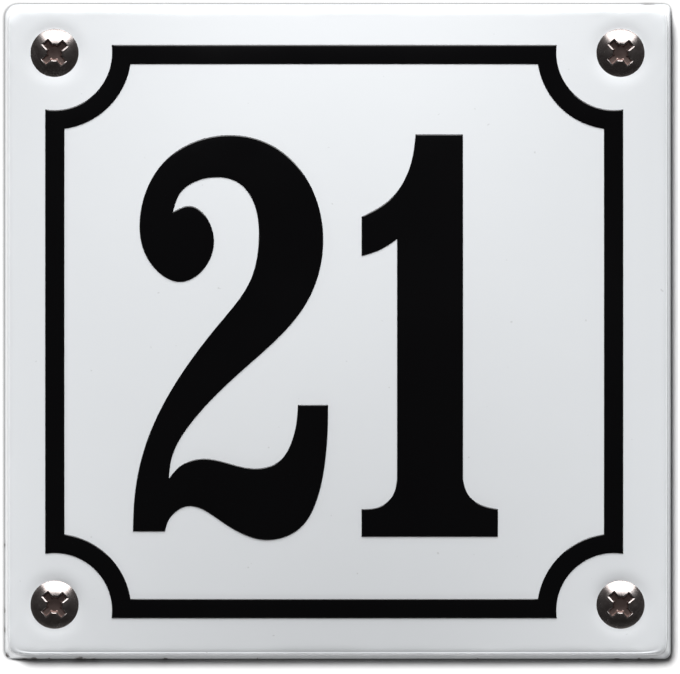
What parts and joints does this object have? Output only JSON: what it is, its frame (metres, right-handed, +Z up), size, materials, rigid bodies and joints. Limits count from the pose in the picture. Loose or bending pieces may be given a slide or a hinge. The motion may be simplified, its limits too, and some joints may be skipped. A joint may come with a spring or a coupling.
{
  "type": "house number plaque",
  "caption": "Square domed enamelled steel plaque with a black border line, concave corners and a two-digit house number, fixed to a wall by cross-recess screws at its corners.",
  "frame": {"origin": "centre of the screw pattern, on the wall plane that the plate's rim rests against", "axes": "+Z up the plaque, +X to the right as it is read, +Y into the wall, so the face looks along -Y"},
  "size_m": [0.1, 0.034, 0.0983],
  "materials": {
    "white_enamel": "gloss",
    "black_enamel": "gloss",
    "screw_steel": "polished"
  },
  "bodies": {
    "root": {"enamel_plate": "white_enamel", "border_line": "black_enamel", "digit_two": "black_enamel", "digit_one": "black_enamel", "fixing_screws": "screw_steel"}
  },
  "joints": []
}
